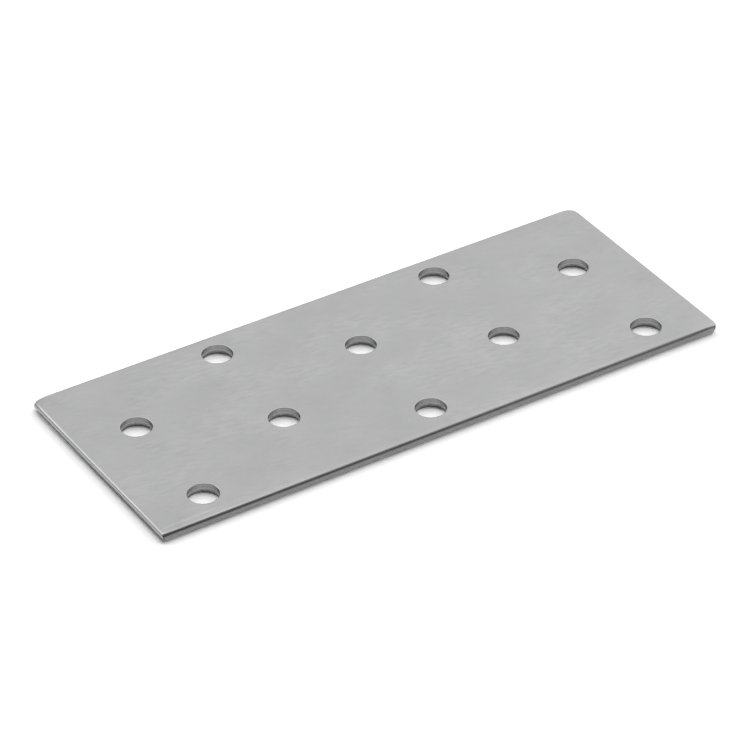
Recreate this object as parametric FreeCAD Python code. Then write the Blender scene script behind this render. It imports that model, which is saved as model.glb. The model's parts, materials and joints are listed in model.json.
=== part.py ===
import FreeCAD, Part
import math
import os

# A mending plate: a flat steel plate, punched through with nail holes, that
# lies across a timber joint and holds it together.
#
# It is one piece. Strip is slit from a coil, the holes are punched in it, and
# a parting punch cuts the plates off the strip and rounds their corners.
# All three cuts are shears. A shear first draws the metal down and rolls its
# edge over, then cuts a smooth land, and at last tears the rest away, so each
# edge here is a gentle draw, a tight roll, an upright land and a broken wall
# that falls back a little towards the underside.
#
# Millimetres. The origin is the middle of the underside. X runs along the
# plate, Y across it with the front edge at minus Y, and Z up through it.

# The strip
plate_length = 100.0
plate_width = 40.5
plate_thickness = 1.75

# The corners. The parting punch rounds three of them, the front right one
# less, as its cut ended nearer to the front edge there. It missed the front
# left one, which stayed nearly sharp.
corner_radius = 1.5
short_corner_radius = 0.8
missed_corner_radius = 0.4

# The skin is dragged down further at a corner than along a straight edge. It
# bends like sheet over a wide pipe, from a line across the corner that lies
# this far inside the meeting point of the two edges.
corner_draw_radius = 4.4
left_draw_start = 2.3
right_draw_start = 1.9
short_draw_start = 1.6
missed_draw_start = 1.2

# The nail holes. Columns next to each other are staggered: the outer and the
# middle ones have the second and the fourth row counted from the back, and
# those between them have the first and the third. The plate has as many
# columns and rows as leave these margins outside the outer holes' centres.
hole_diameter = 4.9
column_pitch = 20.0
row_pitch = 10.0
end_margin = 10.0
edge_margin = 5.0
# The whole pattern was punched a little nearer to the right end and the back.
pattern_shift_along = 0.1
pattern_shift_across = 0.3

# The slit long edges
slit_draw_radius = 5.0
slit_draw_lean = 8.0
slit_roll_radius = 0.6
slit_broken_share = 0.77
slit_recess = 0.33

# The parted short ends and their corners
parted_draw_radius = 1.0
parted_draw_lean = 17.0
parted_roll_radius = 0.25
parted_broken_share = 0.72
parted_recess = 0.2

# The punched holes
punched_draw_radius = 1.0
punched_draw_lean = 15.0
punched_roll_radius = 0.08
punched_broken_share = 0.48
punched_recess = 0.12

# How far the cutting tools reach past the metal
tool_reach = 3.0

# What a count may lose to rounding
rounding = 1e-6

# Turns, in degrees
quarter_turn = 90.0
full_turn = 360.0

node_name = "plate"
up = FreeCAD.Vector(0, 0, 1)


class Shear:
    """The form that one kind of cut leaves on an edge, as distances into the metal and heights."""

    def __init__(self, draw_radius, draw_lean, roll_radius, broken_share, recess):
        self.draw_radius = draw_radius
        self.lean = math.radians(draw_lean)
        self.roll_radius = roll_radius
        self.recess = recess
        drawn_width = draw_radius * math.sin(self.lean)
        drawn_depth = draw_radius * (1 - math.cos(self.lean))
        self.width = drawn_width + roll_radius * (1 - math.sin(self.lean))
        depth = drawn_depth + roll_radius * math.cos(self.lean)
        self.land_top = plate_thickness - depth
        self.land_foot = self.land_top * broken_share

    def on_roll(self, lean):
        """The point of the tight roll where the surface leans by this angle from level."""
        into = self.roll_radius * (1 - math.sin(lean))
        return into, self.land_top + self.roll_radius * math.cos(lean)

    def on_draw(self, lean):
        """The point of the gentle draw where the surface leans by this angle from level."""
        into = self.width - self.draw_radius * math.sin(lean)
        return into, plate_thickness - self.draw_radius * (1 - math.cos(lean))

    def waste(self, beyond, place):
        """The section of metal that the cut takes away, out to a distance beyond the wall.

        place turns a distance into the metal and a height into a point in space.
        """

        def line(start, end):
            return Part.makeLine(place(*start), place(*end))

        def arc(start, middle, end):
            return Part.Arc(place(*start), place(*middle), place(*end)).toShape()

        upright = math.pi / 2
        sky = plate_thickness + tool_reach
        foot = (self.recess, 0.0)
        broken = (0.0, self.land_foot)
        level_start = (self.width, plate_thickness)
        return Part.Face(Part.Wire([
            line((self.recess, -tool_reach), foot),
            line(foot, broken),
            line(broken, self.on_roll(upright)),
            arc(self.on_roll(upright), self.on_roll((upright + self.lean) / 2), self.on_roll(self.lean)),
            arc(self.on_draw(self.lean), self.on_draw(self.lean / 2), level_start),
            line(level_start, (self.width, sky)),
            line((self.width, sky), (-beyond, sky)),
            line((-beyond, sky), (-beyond, -tool_reach)),
            line((-beyond, -tool_reach), (self.recess, -tool_reach)),
        ]))


def long_edge_cut(shear, side):
    """The slitter's cut along a whole long edge, on the back (1) or the front (-1)."""
    half_run = plate_length / 2 + tool_reach

    def place(into, height):
        return FreeCAD.Vector(-half_run, side * (plate_width / 2 - into), height)

    return shear.waste(tool_reach, place).extrude(FreeCAD.Vector(2 * half_run, 0, 0))


def short_end_cut(shear, side, front_radius, back_radius):
    """The parting punch's straight cut across the right (1) or left (-1) end, between its corners."""
    start = -plate_width / 2 + front_radius
    end = plate_width / 2 - back_radius

    def place(into, height):
        return FreeCAD.Vector(side * (plate_length / 2 - into), start, height)

    return shear.waste(tool_reach, place).extrude(FreeCAD.Vector(0, end - start, 0))


def rounded_corner_cut(shear, side_x, side_y, radius):
    """The parting punch's cut round a corner: the same section, turned about the corner's centre."""
    centre = FreeCAD.Vector(
        side_x * (plate_length / 2 - radius),
        side_y * (plate_width / 2 - radius),
        0,
    )

    def place(into, height):
        return centre + FreeCAD.Vector(side_x * (radius - into), 0, height)

    return shear.waste(tool_reach, place).revolve(centre, up, quarter_turn * side_x * side_y)


def missed_corner_cut(side_x, side_y):
    """The small round of the corner that the parting punch missed, straight down the plate."""
    centre = FreeCAD.Vector(
        side_x * (plate_length / 2 - missed_corner_radius),
        side_y * (plate_width / 2 - missed_corner_radius),
        0,
    )
    inner = centre + FreeCAD.Vector(side_x * missed_corner_radius, 0, -tool_reach)
    outer = inner + FreeCAD.Vector(side_x * tool_reach, 0, 0)
    rise = FreeCAD.Vector(0, 0, plate_thickness + 2 * tool_reach)
    section = Part.Face(Part.makePolygon([inner, outer, outer + rise, inner + rise, inner]))
    return section.revolve(centre, up, quarter_turn * side_x * side_y)


def corner_draw_cut(side_x, side_y, draw_start):
    """The bend of the skin at a corner: what lies over a pipe that runs level across the corner."""
    meeting = FreeCAD.Vector(side_x * plate_length / 2, side_y * plate_width / 2, 0)
    outward = FreeCAD.Vector(side_x, side_y, 0).normalize()
    across = FreeCAD.Vector(-side_y, side_x, 0).normalize()
    start = meeting - outward * draw_start - across * tool_reach

    def place(along, height):
        return start + outward * along + up * height

    def on_bend(lean):
        drop = corner_draw_radius * (1 - math.cos(lean))
        return place(corner_draw_radius * math.sin(lean), plate_thickness - drop)

    full_lean = math.asin(draw_start / corner_draw_radius)
    sky = plate_thickness + tool_reach
    section = Part.Face(Part.Wire([
        Part.Arc(on_bend(0), on_bend(full_lean / 2), on_bend(full_lean)).toShape(),
        Part.makeLine(on_bend(full_lean), place(draw_start, sky)),
        Part.makeLine(place(draw_start, sky), place(0, sky)),
        Part.makeLine(place(0, sky), on_bend(0)),
    ]))
    return section.extrude(across * 2 * tool_reach)


def nail_hole_punch(shear):
    """The punch of one nail hole, standing at the origin."""
    radius = hole_diameter / 2

    def place(into, height):
        return FreeCAD.Vector(radius + into, 0, height)

    return shear.waste(radius, place).revolve(FreeCAD.Vector(0, 0, 0), up, full_turn)


def rows_that_fit(span, margin, pitch):
    """How many rows of holes a span takes, with at least the margin outside the outer ones."""
    return math.floor((span - 2 * margin) / pitch + rounding) + 1


def nail_hole_places():
    """The centres of the nail holes: every second place of the grid, so that the columns alternate."""
    columns = rows_that_fit(plate_length, end_margin, column_pitch)
    rows = rows_that_fit(plate_width, edge_margin, row_pitch)
    places = []
    for column in range(columns):
        for row in range(rows):
            if (column + row) % 2:
                x = (column - (columns - 1) / 2) * column_pitch + pattern_shift_along
                y = ((rows - 1) / 2 - row) * row_pitch + pattern_shift_across
                places.append(FreeCAD.Vector(x, y, 0))
    return places


slit = Shear(slit_draw_radius, slit_draw_lean, slit_roll_radius, slit_broken_share, slit_recess)
parted = Shear(
    parted_draw_radius, parted_draw_lean, parted_roll_radius, parted_broken_share, parted_recess
)
punched = Shear(
    punched_draw_radius, punched_draw_lean, punched_roll_radius, punched_broken_share, punched_recess
)

# The coil's metal, before any cut
half_length = plate_length / 2 + tool_reach / 2
half_width = plate_width / 2 + tool_reach / 2
sheet = Part.makeBox(
    2 * half_length,
    2 * half_width,
    plate_thickness,
    FreeCAD.Vector(-half_length, -half_width, 0),
)

cuts = [
    long_edge_cut(slit, 1),
    long_edge_cut(slit, -1),
    short_end_cut(parted, 1, short_corner_radius, corner_radius),
    short_end_cut(parted, -1, -tool_reach, corner_radius),
    rounded_corner_cut(parted, 1, 1, corner_radius),
    rounded_corner_cut(parted, 1, -1, short_corner_radius),
    rounded_corner_cut(parted, -1, 1, corner_radius),
    missed_corner_cut(-1, -1),
    corner_draw_cut(1, 1, right_draw_start),
    corner_draw_cut(1, -1, short_draw_start),
    corner_draw_cut(-1, 1, left_draw_start),
    corner_draw_cut(-1, -1, missed_draw_start),
]
punch = nail_hole_punch(punched)
for place in nail_hole_places():
    cuts.append(punch.translated(place))

plate = sheet.cut(cuts).removeSplitter().Solids[0]

os.makedirs("parts", exist_ok=True)
plate.exportStep("parts/" + node_name + ".step")

print("nail holes:", len(nail_hole_places()))
print("faces:", len(plate.Faces), "and cubic millimetres:", round(plate.Volume, 1))
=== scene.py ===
# %% [markdown]
# # A mending plate on a white table
#
# The object is one flat piece of steel with ten nail holes. There is little
# form to hide behind, so all of its looks come from two things: how the cut
# edges are shaped, and how the zinc on the faces and the bare steel on the
# cuts answer the light. This file builds both, one step at a time.
#
# The packed model comes first. It is the fixed frame that every later size
# and place is read from.

# %% Load the frame
import json
import math
import bmesh
import bpy
import numpy as np
from mathutils import Matrix, Vector, noise
from mathutils.geometry import delaunay_2d_cdt


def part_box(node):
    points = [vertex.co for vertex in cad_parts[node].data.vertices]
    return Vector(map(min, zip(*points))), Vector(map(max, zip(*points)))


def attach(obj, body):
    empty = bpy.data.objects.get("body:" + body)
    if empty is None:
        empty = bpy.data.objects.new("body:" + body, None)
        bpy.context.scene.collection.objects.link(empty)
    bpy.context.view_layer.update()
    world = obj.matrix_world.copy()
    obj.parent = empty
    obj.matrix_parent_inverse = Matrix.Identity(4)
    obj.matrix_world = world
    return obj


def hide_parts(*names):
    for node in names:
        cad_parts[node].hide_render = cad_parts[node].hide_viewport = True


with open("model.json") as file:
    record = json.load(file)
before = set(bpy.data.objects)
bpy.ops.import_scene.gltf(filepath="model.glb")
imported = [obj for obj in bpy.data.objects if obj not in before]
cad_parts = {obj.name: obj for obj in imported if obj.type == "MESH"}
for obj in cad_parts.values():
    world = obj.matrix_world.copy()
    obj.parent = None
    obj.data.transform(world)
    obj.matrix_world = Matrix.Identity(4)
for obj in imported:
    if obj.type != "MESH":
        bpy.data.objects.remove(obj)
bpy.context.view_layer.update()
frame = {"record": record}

# %% [markdown]
# ## The sizes
#
# The outline and the thickness are those of the solid, and the nail holes
# are the bores that the record states. They could be typed in again here,
# but reading them keeps the looks and the solid together when a size
# changes. Lengths are in metres, so a millimetre has a name.

# %% Read the sizes
mm = 0.001
low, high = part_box("plate")
length = high.x - low.x
width = high.y - low.y
thickness = high.z - low.z
bores = [m for m in frame["record"]["mounts"] if m["kind"] == "bore"]
hole_radius = bores[0]["dims"]["r_mm"] * mm
hole_centres = [Vector(m["pos_m"][:2]) for m in bores]
print("plate, mm:", [round(v / mm, 2) for v in (length, width, thickness)])
print("nail holes:", len(hole_centres), "of radius", hole_radius / mm, "mm")

# %% [markdown]
# ## What a shear leaves behind
#
# Every edge of this plate was cut by a blade or a punch, and a cut edge is
# never square. The blade first pulls the skin down, which leaves a gentle
# draw and then a tighter roll. Next it cuts a smooth land. At last the metal
# tears, and the lowest part of the wall is broken, rough and set back. A
# bevel modifier could round the edge, but it would give the same arc
# everywhere. A list of section points keeps the zones apart, and each zone
# can have its own finish. The long edges were slit, the short ends parted
# and the holes punched, so there are three sets of numbers: the radius and
# the lean of the draw, the radius of the roll, the broken share of the wall
# and how far its foot is set back.

# %% The section of a cut edge
draw_steps = 8
roll_steps = 14
land_steps = 4
broken_steps = 10

slit = {"draw": 5.0 * mm, "lean": 8.0, "roll": 0.6 * mm, "broken": 0.77, "recess": 0.4 * mm}
parted = {"draw": 1.0 * mm, "lean": 17.0, "roll": 0.25 * mm, "broken": 0.72, "recess": 0.26 * mm}
punched = {"draw": 1.0 * mm, "lean": 15.0, "roll": 0.08 * mm, "broken": 0.48, "recess": 0.12 * mm}


def cut_section(cut, level_backs, growth=1.0):
    """Points (into the metal, height, zone) from the flat top, round the edge, down to the underside.

    The zone goes from 0 to 1 over the draw, to 2 over the roll, to 3 over the land and to 4 over the
    broken wall. It is 5 on the underside. level_backs are steps on the flat before the draw, and
    growth makes the roll wider and deeper and sets the foot back more.
    """
    lean = math.radians(cut["lean"])
    draw_radius = cut["draw"]
    roll_radius = cut["roll"] * growth
    recess = cut["recess"] * growth
    reach = draw_radius * math.sin(lean) + roll_radius * (1 - math.sin(lean))
    depth = draw_radius * (1 - math.cos(lean)) + cut["roll"] * math.cos(lean)
    land_foot = (thickness - depth) * cut["broken"]
    land_top = thickness - depth - (growth - 1) * cut["roll"] * math.cos(lean)
    points = [(reach + back, thickness, 0.0) for back in level_backs]
    for part in np.arange(draw_steps) / draw_steps:
        angle = lean * part
        into = reach - draw_radius * math.sin(angle)
        points.append((into, thickness - draw_radius * (1 - math.cos(angle)), part))
    for part in np.arange(roll_steps) / roll_steps:
        angle = lean + (math.pi / 2 - lean) * part
        into = roll_radius * (1 - math.sin(angle))
        points.append((into, land_top + roll_radius * math.cos(angle), 1 + part))
    for part in np.arange(land_steps) / land_steps:
        points.append((0.0, land_top + (land_foot - land_top) * part, 2 + part))
    for part in np.arange(broken_steps + 1) / broken_steps:
        points.append((recess * part, land_foot * (1 - part), 3 + part))
    points.append((recess + level_backs[-1], 0.0, 5.0))
    return points


edge_levels = [level * mm for level in (0.6, 0.48, 0.4, 0.32, 0.24, 0.16, 0.08)]
hole_levels = [0.1 * mm]
print("section points on an edge:", len(cut_section(slit, edge_levels)))

# %% [markdown]
# ## Round the outline
#
# The edge of the plate is a stack of closed rings, one for each point of the
# section. A ring is a rectangle with rounded corners. Its long sides sit
# back by what the slit section says and its short ends by what the parted
# section says, so a corner is a quarter of an ellipse between the two. The
# corners differ. The parting punch missed the front left one and only just
# caught the front right one, and the feet of all four wore to a wider round.

# %% A rounded outline
long_steps = 400
short_steps = 160
corner_steps = 18
# Walked from above, against the clock: the side of X, the side of Y, the radius of the wall, its
# radius at the foot, how wide the draw swings round it, and where the skin starts to bend down,
# measured from the corner's tip
corners = [
    {"x": 1, "y": -1, "radius": 0.8 * mm, "foot": 1.15 * mm, "swing": 0.3, "draw": 1.6 * mm},
    {"x": 1, "y": 1, "radius": 1.5 * mm, "foot": 1.8 * mm, "swing": 0.3, "draw": 1.9 * mm},
    {"x": -1, "y": 1, "radius": 1.25 * mm, "foot": 2.3 * mm, "swing": 0.3, "draw": 2.3 * mm},
    {"x": -1, "y": -1, "radius": 0.3 * mm, "foot": 0.8 * mm, "swing": 0.2, "draw": 1.0 * mm},
]
scant, missed = corners[0], corners[3]


def corner_point(corner, back_x, back_y, worn, turn):
    """A point of a ring's corner, from the short end where turn is 0 to the long edge where it is 1."""
    radius = corner["radius"] + (corner["foot"] - corner["radius"]) * worn
    swing = corner["swing"] * max(back_x, back_y)
    round_x = max(radius - back_x, swing)
    round_y = max(radius - back_y, swing)
    angle = turn * math.pi / 2
    x = length / 2 - back_x - round_x * (1 - math.cos(angle))
    y = width / 2 - back_y - round_y * (1 - math.sin(angle))
    return Vector((corner["x"] * x, corner["y"] * y))


def outline_point(station, back_x, back_y, worn=0.0):
    """The point of a ring at one station, which is a corner's turn or a part of the side after it."""
    corner, following, turn, part = station
    start = corner_point(corner, back_x, back_y, worn, turn)
    return start.lerp(corner_point(following, back_x, back_y, worn, turn), part)


stations = []
for index, corner in enumerate(corners):
    from_long = index % 2 == 0
    following = corners[(index + 1) % len(corners)]
    for part in np.arange(corner_steps) / corner_steps:
        stations.append((corner, following, 1 - part if from_long else part, 0.0))
    side = 0 if from_long else 1
    steps = short_steps if from_long else long_steps
    for part in np.arange(steps) / steps:
        stations.append((corner, following, side, part))
print("points round the outline:", len(stations))

# %% [markdown]
# ## Nothing is quite even
#
# The line where the land ends and the tear begins wanders, the torn wall is
# rough, and the draw is deeper in some places than in others. A texture
# could only darken these places. Moving the points gives them real light and
# shade, and it stays in the mesh when the model leaves Blender. The wander
# is smooth noise read at the point's own place, so it is the same each run.

# %% Small unevenness
wander_height = 0.09 * mm
wander_patch = 3 * mm
wander_fine_patch = 0.9 * mm
tear_depth = 0.03 * mm
tear_patch = 0.45 * mm
tear_fine_patch = 0.15 * mm
draw_change = 0.08
draw_patch = 14 * mm


def grain(x, y, z, scale):
    """Smooth noise from -1 to 1, where scale is the size of its patches."""
    return noise.noise(Vector((x, y, z)) / scale)


def rough_tear(x, y, z):
    """The small hollows and lips of torn steel, as a distance into the metal."""
    coarse = grain(x, y, 2 * z, tear_patch)
    fine = grain(x, y, 2 * z, tear_fine_patch)
    return tear_depth * (0.6 * coarse + 0.4 * fine)


def uneven(spot, height, zone):
    """A section point's height and step into the metal, once the cut's unevenness is added."""
    into = 0.0
    near_tear = max(0.0, 1 - abs(zone - 3))
    wander = grain(spot.x, spot.y, 0, wander_patch) + 0.6 * grain(spot.x, spot.y, 0, wander_fine_patch)
    height += near_tear * wander_height * wander
    if zone < 2:
        change = draw_change * grain(spot.x, spot.y, 0, draw_patch) * (2 - zone) / 2
        height = thickness - (thickness - height) * (1 + change)
    if 3 < zone <= 4:
        into = rough_tear(spot.x, spot.y, height) * min(1.0, 4 * (zone - 3))
    return height, into


def soft_step(value, start, end):
    """0 at start and 1 at end, level at both."""
    part = min(max((value - start) / (end - start), 0.0), 1.0)
    return part * part * (3 - 2 * part)


print("tear line wanders by about, mm:", wander_height / mm, "and its roughness is:", tear_depth / mm)

# %% [markdown]
# ## Corners and a pressed step
#
# A punch drags a corner down further than a straight edge, because the metal
# there has less round it to hold it up. Each corner is bent down like the
# end of a ruler over a pipe, in a part of a wide cylinder that starts on a
# line across the corner. The roll changes as well: it grows towards the back
# left corner and at the missed one, and shrinks at the front right one. By
# the missed corner the slitter also pressed the front edge down by a hair,
# with a small step in the face that fades away to the right. The underside
# lies flat, so every drop fades towards it.

# %% How far the skin is pressed down
corner_draw_radius = 4.4 * mm

# The pressed step: its depth, what it rises again, and how far from the front edge it falls (from
# inner to outer) and rises
step_depth = 0.085 * mm
step_rise = 0.05 * mm
step_inner = 1.62 * mm
step_outer = 1.2 * mm
rise_outer = 0.5 * mm
step_wave = 0.05 * mm
step_wave_patch = 4 * mm

# Along the edge: where it starts, how much its start slants, where it has faded away, and for which
# share of that length it is full
step_start = 0.9 * mm
step_slant = 0.5
step_length = 19 * mm
step_full = 0.3

# The roll: where a change sets in and is full, along Y for the front and along X for the left, what
# it gains or loses at a place, and how far that reaches
front_from, front_full = 5 * mm, -15 * mm
left_from, left_full = 5 * mm, -40 * mm
missed_growth = 0.05
missed_reach = 3 * mm
scant_loss = 0.4
scant_reach = 5 * mm
end_growth = 0.2
back_growth = 0.6
back_reach = 20 * mm


def from_corner(corner, spot):
    """How far a spot lies inside a corner's short end and its long edge."""
    return length / 2 - corner["x"] * spot.x, width / 2 - corner["y"] * spot.y


def pressed_down(spot):
    """How far the skin lies below the flat face at a spot."""
    drop = 0.0
    for corner in corners:
        short, long = from_corner(corner, spot)
        bent = corner["draw"] - (short + long) / math.sqrt(2)
        if bent > 0:
            drop += corner_draw_radius - math.sqrt(corner_draw_radius**2 - bent**2)
    short, long = from_corner(missed, spot)
    wavy = long + step_wave * grain(spot.x, 0, 0, step_wave_patch)
    pressed = step_depth * soft_step(wavy, step_inner, step_outer)
    pressed -= step_rise * soft_step(wavy, step_outer, rise_outer)
    pressed *= soft_step(short, step_length, step_full * step_length)
    slanted = short + step_slant * (step_inner - long)
    return drop + pressed * soft_step(slanted, step_start, 1.5 * step_start)


def settle(spot, height):
    """A point in space, once its height is pressed down in proportion."""
    return spot.to_3d() + Vector((0, 0, height - pressed_down(spot) * height / thickness))


def roll_growth(spot):
    """How much wider than usual the roll is at a place of the outline, on a long edge and on an end."""
    from_missed = from_corner(missed, spot)[0]
    from_scant = from_corner(scant, spot)[0]
    front = soft_step(spot.y, front_from, front_full)
    left = soft_step(spot.x, left_from, left_full)
    by_missed = missed_growth * soft_step(from_missed, missed_reach, 0)
    by_scant = scant_loss * soft_step(from_scant, scant_reach, 0)
    on_long = 1 + front * (by_missed - by_scant)
    on_end = 1 + left * (end_growth + back_growth * soft_step(spot.y, 0, back_reach))
    return on_long, on_end


tips = [Vector((corner["x"] * length / 2, corner["y"] * width / 2)) for corner in corners]
print("skin lies lower at the tips by, mm:", [round(pressed_down(tip) / mm, 2) for tip in tips])

# %% [markdown]
# ## The edge as a stack of rings
#
# bmesh keeps each point's zone in a layer of its own, and the kind of cut in
# another: 0 for slit, 1 for parted and 2 for punched. Each face corner gets
# a flat map of the wall: how far round it lies and how high. The finishes
# later read all three. Rings of the same length are joined by quads, and the
# two ends of the stack are left open for the top and the underside.

# %% Lay points and join rings
plate_mesh = bmesh.new()
zone_layer = plate_mesh.verts.layers.float.new("zone")
cut_layer = plate_mesh.verts.layers.float.new("cut")
wall_map = plate_mesh.loops.layers.uv.new("wall")


def lay_point(place, zone, cut=0.0):
    """Adds a point with its zone and its kind of cut."""
    vert = plate_mesh.verts.new(place)
    vert[zone_layer] = zone
    vert[cut_layer] = cut
    return vert


def join_rings(rings, around):
    """Joins each ring to the next with quads. around says how far round the wall each point lies."""
    for upper, lower in zip(rings, rings[1:]):
        for here in range(len(upper)):
            there = (here + 1) % len(upper)
            face = plate_mesh.faces.new((upper[here], lower[here], lower[there], upper[there]))
            face.smooth = True
            far = (around[here], around[here], around[here + 1], around[here + 1])
            for loop, distance in zip(face.loops, far):
                loop[wall_map].uv = (distance / mm, loop.vert.co.z / mm)


print("layers on the points:", plate_mesh.verts.layers.float.keys())

# %% [markdown]
# ## The outer edge
#
# Each station of the outline gets a column of points, one for each step of
# the section. On a corner the two sections are blended, by a share that
# goes softly from the short end to the long edge. A column is easier to
# think of than a ring, because it is the cut edge as seen from its end. The
# columns are then read across as rings.

# %% The outer edge
# The zones at which the wear of the corners' feet sets in and is full
worn_from = 2.8
worn_fully = 4.0
columns = []
for station in stations:
    turn = station[2]
    share = turn * turn * (3 - 2 * turn)
    wall_spot = outline_point(station, 0, 0)
    on_long, on_end = roll_growth(wall_spot)
    inward = Vector((-math.copysign(1 - share, wall_spot.x), -math.copysign(share, wall_spot.y)))
    column = []
    sections = zip(cut_section(parted, edge_levels, on_end), cut_section(slit, edge_levels, on_long))
    for (back_x, z_short, zone), (back_y, z_long, _) in sections:
        worn = min(max((zone - worn_from) / (worn_fully - worn_from), 0.0), 1.0)
        spot = outline_point(station, back_x, back_y, worn)
        height, into = uneven(spot, z_short + (z_long - z_short) * share, zone)
        column.append(lay_point(settle(spot + inward * into, height), zone, 1 - share))
    columns.append(column)
edge_rings = [list(ring) for ring in zip(*columns)]
wall_spots = [outline_point(station, 0, 0) for station in stations]
steps_round = [(b - a).length for a, b in zip(wall_spots, wall_spots[1:] + wall_spots[:1])]
join_rings(edge_rings, np.concatenate([[0.0], np.cumsum(steps_round)]))
print("way round the outline, mm:", round(sum(steps_round) / mm, 2))

# %% [markdown]
# ## The nail holes
#
# A hole's edge is the same stack of rings, with circles for rings. The walk
# goes with the clock, because the metal now lies outside the ring and the
# faces must still look out of it.

# %% The ten punched holes
hole_steps = 96
hole_rings = []
for centre in hole_centres:
    rings = []
    for into, height, zone in cut_section(punched, hole_levels):
        ring = []
        for step in range(hole_steps):
            angle = -2 * math.pi * step / hole_steps
            away = Vector((math.cos(angle), math.sin(angle)))
            spot = centre + away * (hole_radius + into)
            tall, extra = uneven(spot, height, zone)
            ring.append(lay_point(settle(spot + away * extra, tall), zone, 2.0))
        rings.append(ring)
    join_rings(rings, np.arange(hole_steps + 1) * 2 * math.pi * hole_radius / hole_steps)
    hole_rings.append(rings)
print("faces so far:", len(plate_mesh.faces))

# %% [markdown]
# ## The two faces
#
# The top and the underside are flat sheets with ten round windows. Filling
# them with one many-sided face would leave Blender to split it as it likes.
# A Delaunay triangulation takes the rings as fixed lines and a grid of loose
# points between them, and gives small, even triangles. Near the drawn
# corners the grid is finer, so that the bend is smooth. It also fills the
# windows, and those triangles are left out.

# %% Fill a face between the rings
wide_grid = 2.5 * mm
wide_margin = 0.8 * mm
fine_grid = 0.35 * mm
fine_margin = 0.2 * mm
inside_only = 1
same_spot = 1e-6


def grid_points(grid, from_edge, from_hole, wanted):
    """Loose points of a square grid inside the outline and outside the holes, where they are wanted."""
    points = []
    for x in np.arange(-length / 2 + from_edge, length / 2 - from_edge, grid):
        for y in np.arange(-width / 2 + from_edge, width / 2 - from_edge, grid):
            spot = Vector((x, y))
            clear = all((spot - centre).length > hole_radius + from_hole for centre in hole_centres)
            if clear and wanted(spot):
                points.append(spot)
    return points


def by_drawn_corner(spot):
    """Whether a spot lies in the bend of a corner or just before it."""
    to_corner = (length / 2 - abs(spot.x) + width / 2 - abs(spot.y)) / math.sqrt(2)
    return to_corner < max(corner["draw"] for corner in corners) + wide_margin


def by_flat_sheet(spot):
    """Whether a spot lies away from all bent corners."""
    return not by_drawn_corner(spot)


def fill_face(outer, holes, height, zone, up):
    """Fills the sheet between an outer ring and the holes' rings with triangles.

    A triangle whose points all lie on one hole's ring is a part of that hole, and is left out.
    """
    verts = list(outer)
    edges = [(i, (i + 1) % len(outer)) for i in range(len(outer))]
    for hole in holes:
        first = len(verts)
        verts += hole
        edges += [(first + i, first + (i + 1) % len(hole)) for i in range(len(hole))]
    from_edge = width / 2 - max(vert.co.y for vert in outer)
    from_hole = (holes[0][0].co.xy - hole_centres[0]).length - hole_radius
    spots = grid_points(wide_grid, from_edge + wide_margin, from_hole + wide_margin, by_flat_sheet)
    spots += grid_points(fine_grid, from_edge + fine_margin, from_hole + fine_margin, by_drawn_corner)
    verts += [lay_point(settle(spot, height), zone) for spot in spots]
    flat = [vert.co.xy / mm for vert in verts]
    _, _, triangles, origins, _, _ = delaunay_2d_cdt(flat, edges, [], inside_only, same_spot)
    hole_of = {vert: number for number, hole in enumerate(holes) for vert in hole}
    for triangle in triangles:
        three = [verts[origins[i][0]] for i in triangle]
        touched = {hole_of.get(vert) for vert in three}
        if touched == {None} or len(touched) > 1:
            face = plate_mesh.faces.new(three if up else three[::-1])
            face.smooth = True


fill_face(edge_rings[0], [rings[0] for rings in hole_rings], thickness, 0.0, True)
fill_face(edge_rings[-1], [rings[-1] for rings in hole_rings], 0.0, 5.0, False)
unused = [vert for vert in plate_mesh.verts if not vert.link_faces]
bmesh.ops.delete(plate_mesh, geom=unused, context="VERTS")
print("faces in all:", len(plate_mesh.faces), "and loose points removed:", len(unused))

# %% [markdown]
# ## Into the scene
#
# The finished bmesh becomes one object. Edges that turn by more than a set
# angle stay sharp, so the underside meets the torn wall in a clean line while
# the roll stays smooth. The piece rides on the plate's body and stands for
# the solid.

# %% The plate object
sharp_angle = math.radians(40)
mesh = bpy.data.meshes.new("mending_plate")
plate_mesh.to_mesh(mesh)
open_edges = sum(1 for edge in plate_mesh.edges if len(edge.link_faces) != 2)
plate_mesh.free()
mesh.set_sharp_from_angle(angle=sharp_angle)
plate = bpy.data.objects.new("mending_plate", mesh)
bpy.context.scene.collection.objects.link(plate)
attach(plate, "root")
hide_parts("plate")
print("open edges:", open_edges, "triangles:", sum(len(p.vertices) - 2 for p in mesh.polygons))

# %% [markdown]
# ## Shader maths as plain expressions
#
# A finish is a sum of small masks. Written as nodes, each plus and times
# takes several lines. This small class wraps a socket, so that an expression
# such as 1 - mask adds its Math node by itself. Colours don't go through
# Math nodes, which would turn them grey: they are mixed by a Mix node.

# %% A socket that can be used in expressions


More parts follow.
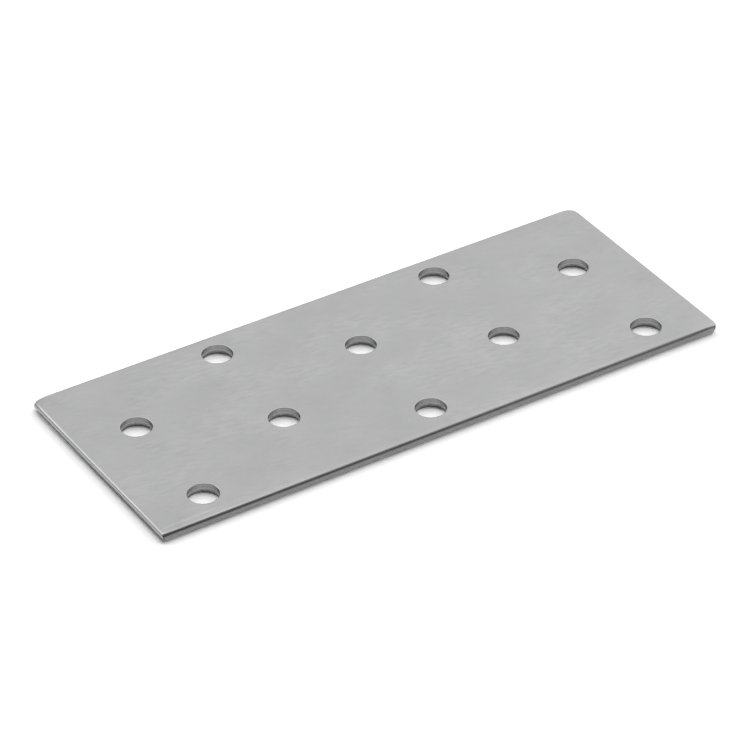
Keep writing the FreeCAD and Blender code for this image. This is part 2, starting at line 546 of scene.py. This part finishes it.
class Wire:
    """A socket of a node tree, with the operators that the finishes use."""

    def __init__(self, tree, socket):
        self.tree = tree
        self.socket = socket

    def node(self, kind, settings=None, sockets=None, out=0):
        """Adds any node: its type, its settings, then values or wires for its sockets."""
        made = self.tree.nodes.new(kind)
        for name, value in (settings or {}).items():
            setattr(made, name, value)
        for name, value in (sockets or {}).items():
            if isinstance(value, Wire):
                self.tree.links.new(value.socket, made.inputs[name])
            else:
                made.inputs[name].default_value = value
        return Wire(self.tree, made.outputs[out]) if made.outputs else made

    def math(self, operation, first, second):
        """A Math node between two numbers or wires."""
        return self.node("ShaderNodeMath", {"operation": operation}, {0: first, 1: second})

    def __add__(self, other):
        return self.math("ADD", self, other)

    def __radd__(self, other):
        return self.math("ADD", other, self)

    def __sub__(self, other):
        return self.math("SUBTRACT", self, other)

    def __rsub__(self, other):
        return self.math("SUBTRACT", other, self)

    def __mul__(self, other):
        return self.math("MULTIPLY", self, other)

    def __rmul__(self, other):
        return self.math("MULTIPLY", other, self)

    def step(self, start, end):
        """A soft step: 0 below start, 1 above end. With start above end it falls instead."""
        sockets = {"Value": self, "From Min": start, "From Max": end}
        return self.node("ShaderNodeMapRange", {"interpolation_type": "SMOOTHSTEP"}, sockets)

    def blend(self, low, high):
        """A number that is low where this mask is 0 and high where it is 1."""
        return self * (high - low) + low

    def mix(self, low, high):
        """A colour between two, by this mask. A Mix node's colour sockets are 6 and 7, and 2 is out."""
        return self.node("ShaderNodeMix", {"data_type": "RGBA"}, {"Factor": self, 6: low, 7: high}, 2)

    def stretch(self, scale):
        """A vector scaled by three factors, through Vector Math."""
        return self.node("ShaderNodeVectorMath", {"operation": "MULTIPLY"}, {0: self, 1: scale})

    def turned(self, degrees):
        """A vector turned about Z."""
        sockets = {"Vector": self, "Angle": math.radians(degrees)}
        return self.node("ShaderNodeVectorRotate", {"rotation_type": "Z_AXIS"}, sockets)

    def noise(self, scale, detail=2.0, roughness=0.5):
        """Noise read at this vector."""
        sockets = {"Vector": self, "Scale": scale, "Detail": detail, "Roughness": roughness}
        return self.node("ShaderNodeTexNoise", {}, sockets)


def new_tree(holder):
    """An empty node tree of a material or the world, as a starting wire."""
    holder.use_nodes = True
    holder.node_tree.nodes.clear()
    return Wire(holder.node_tree, None)


print("what a wire can do:", [name for name in vars(Wire) if not name.startswith("_")])

# %% [markdown]
# ## Where a spot lies
#
# The sheet was coated before it was cut, so the faces, the draw and most of
# the roll are dull zinc and the wall below is bare steel. The finish has to
# know which is which at every spot. It reads the zone, from 0 on the flat
# top to 5 on the underside, and the kind of cut. Separate materials for zinc
# and steel would meet in a hard line. Masks with soft steps let one run out
# into the other, as it does where a blade has wiped the zinc down the roll.

# %% Masks for the zones and the cuts
metal = bpy.data.materials.new("galvanised_steel")
tree = new_tree(metal)
zone = tree.node("ShaderNodeAttribute", {"attribute_name": "zone"}, out="Fac")
kind = tree.node("ShaderNodeAttribute", {"attribute_name": "cut"}, out="Fac")
place = tree.node("ShaderNodeTexCoord", out="Object")
along_wall = tree.node("ShaderNodeUVMap", {"uv_map": "wall"})

not_slit = kind.step(0.0, 1.0)
is_slit = 1 - not_slit
is_punched = kind.step(1.0, 2.0)
is_parted = not_slit - is_punched
front_half = tree.node("ShaderNodeSeparateXYZ", {}, {0: place}, "Y").step(0.001, -0.001)
bare = zone.step(1.65, 2.0) * zone.step(4.6, 4.3)
broken = zone.step(2.9, 3.1) * zone.step(4.6, 4.3)
burnished = zone.step(1.0, 1.3) * zone.step(3.06, 2.9)
print("mask nodes:", len(metal.node_tree.nodes))

# %% [markdown]
# ## Zinc on the faces
#
# The zinc is one even grey. Up close it has faint clouds, short soft streaks
# that slant across the strip, and a fine grain. The streaks stand closer in
# some places than in others, so a wide noise sets their strength. Streaks
# and grain go into the bump as well, because a scratch in metal shows more
# by its slope than by its colour. The three factors of a stretch say how
# many patches fit in a metre along X, Y and Z.

# %% The tone of the zinc
zinc_grey = 0.384
streak_slant = 10.0

clouds = place.stretch((100.0, 130.0, 100.0)).noise(1.0, 2.0)
streaks = place.turned(streak_slant).stretch((480.0, 1500.0, 480.0)).noise(1.0, 2.0)
clusters = place.stretch((90.0, 120.0, 90.0)).noise(1.0, 1.0).step(0.42, 0.62)
fine = place.stretch((2600.0, 3400.0, 2600.0)).noise(1.0, 2.0)
relief = (streaks - 0.5) * (0.35 + clusters)
# Painted sheen: the draw of a slit edge is painted a hair lighter than the flat zinc
drawn = zone.step(0.0, 0.4) * zone.step(1.2, 0.9) * is_slit
zinc_tone = zinc_grey + (clouds - 0.5) * 0.08 + relief * 0.078 + (fine - 0.5) * 0.03 + drawn * 0.008
print("zinc grey:", zinc_grey, "and nodes so far:", len(metal.node_tree.nodes))

# %% [markdown]
# ## Bare steel on the cuts
#
# Each tool leaves its own wall. The slitter leaves a dark land and a tear
# mottled by torn grains, which painted light makes lighter towards its foot,
# against the shade that falls there. The parting punch leaves a bright land
# over a dull tear. A punched hole has fine upright lines from the punch. Its
# wall is painted lighter where the tear begins, against the shade deep in the
# hole, and darker at the foot, as painted contact shade. The roll of a slit
# edge is painted dark, as a painted reflection of the dark side of the room,
# and so are the two front corners. One noise texture could not tell these
# walls apart. Here each wall has its own sum of a few steps, so one term can
# be changed without touching the others.

# %% The tones of the cuts
# Strengths of the painted dark reflection on the slit roll and in the two front corners
painted_roll_reflection = 0.60
painted_corner_reflection = 0.6

upright_lines = along_wall.stretch((5.0, 0.5, 1.0)).noise(1.0, 3.0) - 0.5
mottled = along_wall.stretch((3.5, 5.0, 1.0)).noise(1.0, 4.0) - 0.5
# Painted light: the slit wall gets lighter over the tear and towards its foot, against the shade that
# falls there
slit_tone = zone.step(2.4, 3.3).blend(0.225, 0.33) + zone.step(3.0, 3.8) * 0.20 + mottled * 0.16
parted_tone = zone.step(2.95, 3.1).blend(0.375, 0.265) + mottled * 0.10
# Painted light and shade: the punched wall gets lighter where the tear begins, against the shade deep
# in the hole, and darker at the foot as painted contact shade
punched_tone = 0.28 + zone.step(2.6, 3.2) * 0.25 + upright_lines * 0.16
punched_tone = punched_tone - zone.step(3.25, 3.5) * 0.21 - zone.step(3.5, 4.0) * 0.10
wall_tone = slit_tone * is_slit + parted_tone * is_parted + punched_tone * is_punched

# Painted dark reflection: the roll of a slit edge is painted dark where it mirrors the dark side of the
# room
dark_roll = zone.step(1.1, 1.5) * zone.step(2.05, 1.8) * is_slit * painted_roll_reflection
# Painted dark reflection: an upright dark streak in each front corner, over the land and the top of the
# tear
across_corner = kind.step(0.0, 0.04) * kind.step(0.55, 0.2) * front_half
dark_corner = across_corner * zone.step(1.3, 1.8) * zone.step(3.5, 3.1) * painted_corner_reflection
tone = (zinc_tone * (1 - bare) + wall_tone * bare) * (1 - dark_roll) * (1 - dark_corner)
print("nodes so far:", len(metal.node_tree.nodes))

# %% [markdown]
# ## Gloss, relief and the shader
#
# The roll and the land are burnished by the blade and mirror sharply, and
# the tear is rough. The zinc lies between. A constant value would do for
# each, but the zinc's gloss also changes a little with its clouds. The grey
# leans a hair towards blue, as zinc does.

# %% The finished shader
roughness = 0.29 + (clouds - 0.5) * 0.04 - burnished * 0.09 + broken * 0.40
colour = tree.node("ShaderNodeCombineColor", {}, {"Red": tone, "Green": tone, "Blue": tone * 1.006})
bump_depth = 0.04 * mm
bump_strength = 0.2
bump = tree.node(
    "ShaderNodeBump",
    {},
    {"Strength": bump_strength, "Distance": bump_depth, "Height": fine + relief * 2.0},
)
shader = tree.node(
    "ShaderNodeBsdfPrincipled",
    {},
    {"Base Color": colour, "Metallic": 1.0, "Roughness": roughness, "Normal": bump},
)
tree.node("ShaderNodeOutputMaterial", {}, {"Surface": shader})
mesh.materials.append(metal)
print("nodes in the finish:", len(metal.node_tree.nodes))

# %% [markdown]
# ## A sky for a metal plate
#
# A metal face shows what stands opposite it, so its look is mostly a choice
# of surroundings. Lamps would each leave a spot in the zinc. Here the world
# itself is the light: a ceiling that fades towards the horizon, a strong
# light right overhead, a window behind on the left and the dark side of the
# room, where the camera stands. The window puts the bright line on the left
# edge. The dark side deepens the dark roll of the front edge. The light
# overhead reaches the table close to the foot of the edges and inside the
# holes, and their walls mirror it from there. The ceiling and the light
# overhead are brighter on the right, as the plate is in the photo.

# %% The sky
horizon_light = 0.482
ceiling_light = 0.976
overhead_light = 3.12
window_light = 1.40
dark_side_depth = 0.74
gain_to_right = 0.55

world = bpy.data.worlds.new("studio")
bpy.context.scene.world = world
tree = new_tree(world)
direction = tree.node("ShaderNodeTexCoord", out="Generated")
upward = tree.node("ShaderNodeSeparateXYZ", {}, {0: direction}, "Z")
rightward = tree.node("ShaderNodeSeparateXYZ", {}, {0: direction}, "X")


def seen_towards(azimuth, elevation):
    """The cosine between a ray and a place in the sky. Azimuth turns from +Y towards +X, in degrees."""
    turn, rise = math.radians(azimuth), math.radians(elevation)
    towards = (math.sin(turn) * math.cos(rise), math.cos(turn) * math.cos(rise), math.sin(rise))
    sockets = {0: direction, 1: towards}
    return tree.node("ShaderNodeVectorMath", {"operation": "DOT_PRODUCT"}, sockets, "Value")


def grey(value):
    """A colour with three equal parts."""
    return (value, value, value, 1.0)


ceiling = upward.step(0.0, 0.542).blend(horizon_light, ceiling_light)
overhead = upward.step(0.915, 1.0) * overhead_light
window = seen_towards(-29.6, 46.2).step(0.85, 1.0) * window_light
dark_side = seen_towards(226.3, 17.0).step(0.188, 0.412) * dark_side_depth
light = ((ceiling + overhead) * (1 + gain_to_right * rightward) + window) * (1 - dark_side)
strength = tree.node("ShaderNodeLightPath", out="Is Camera Ray").blend(light, 1.0)
sky = tree.node("ShaderNodeBackground", {}, {"Color": grey(1.0), "Strength": strength})
tree.node("ShaderNodeOutputWorld", {}, {"Surface": sky})
print("nodes in the sky:", len(world.node_tree.nodes))

# %% [markdown]
# ## The table
#
# The photo's table is pure white. White comes from its colour for the rays
# that show it, to the eye and in the metal, and not from more light. For all
# other rays it is plain matt paper, so it throws a natural amount of light
# back up, and the soft shadow round the plate stays.

# %% The table
table_reach = 3.0
table_steps = 8
paper = 0.85
shown_white = 1.235

floor_mesh = bpy.data.meshes.new("table_top")
table = bmesh.new()
bmesh.ops.create_grid(table, x_segments=table_steps, y_segments=table_steps, size=table_reach)
table.to_mesh(floor_mesh)
table.free()
floor = bpy.data.objects.new("table_top", floor_mesh)
bpy.context.scene.collection.objects.link(floor)
white = bpy.data.materials.new("table_white")
tree = new_tree(white)
seen = tree.node("ShaderNodeLightPath", out="Is Camera Ray")
mirrored = tree.node("ShaderNodeLightPath", out="Is Glossy Ray")
through = tree.node("ShaderNodeLightPath", out="Is Transmission Ray")
shown = (seen + mirrored + through).step(0.0, 1.0)
matt = tree.node("ShaderNodeBsdfDiffuse", {}, {"Color": shown.mix(grey(paper), grey(shown_white))})
tree.node("ShaderNodeOutputMaterial", {}, {"Surface": matt})
floor_mesh.materials.append(white)
print("table reaches, m:", table_reach)

# %% [markdown]
# ## The camera
#
# The photo was taken from the front left with a long lens, so the far end is
# hardly smaller than the near one. The camera looks at a point near the
# middle of the plate. Its place comes from two angles and a distance, which
# are easier to reason about than three coordinates.

# %% The camera
azimuth = math.radians(-31.93)
elevation = math.radians(35.11)
roll = math.radians(-0.60)
distance = 619.7 * mm
aim = Vector((-1.30 * mm, -1.02 * mm, 0.25 * mm))
back = Vector((
    math.sin(azimuth) * math.cos(elevation),
    -math.cos(azimuth) * math.cos(elevation),
    math.sin(elevation),
))
right = Vector((0, 0, 1)).cross(back).normalized()
up = back.cross(right)
turned_right = right * math.cos(roll) + up * math.sin(roll)
turned_up = up * math.cos(roll) - right * math.sin(roll)
camera_data = bpy.data.cameras.new("camera")
camera_data.lens = 192.77
camera_data.sensor_width = 36.0
camera_data.clip_end = 10.0
camera = bpy.data.objects.new("camera", camera_data)
camera.matrix_world = Matrix((turned_right, turned_up, back)).transposed().to_4x4()
camera.location = aim + back * distance
bpy.context.scene.collection.objects.link(camera)
bpy.context.scene.camera = camera
bpy.context.scene.view_settings.view_transform = "Standard"
print("camera stands at, mm:", [round(v / mm, 1) for v in camera.location])
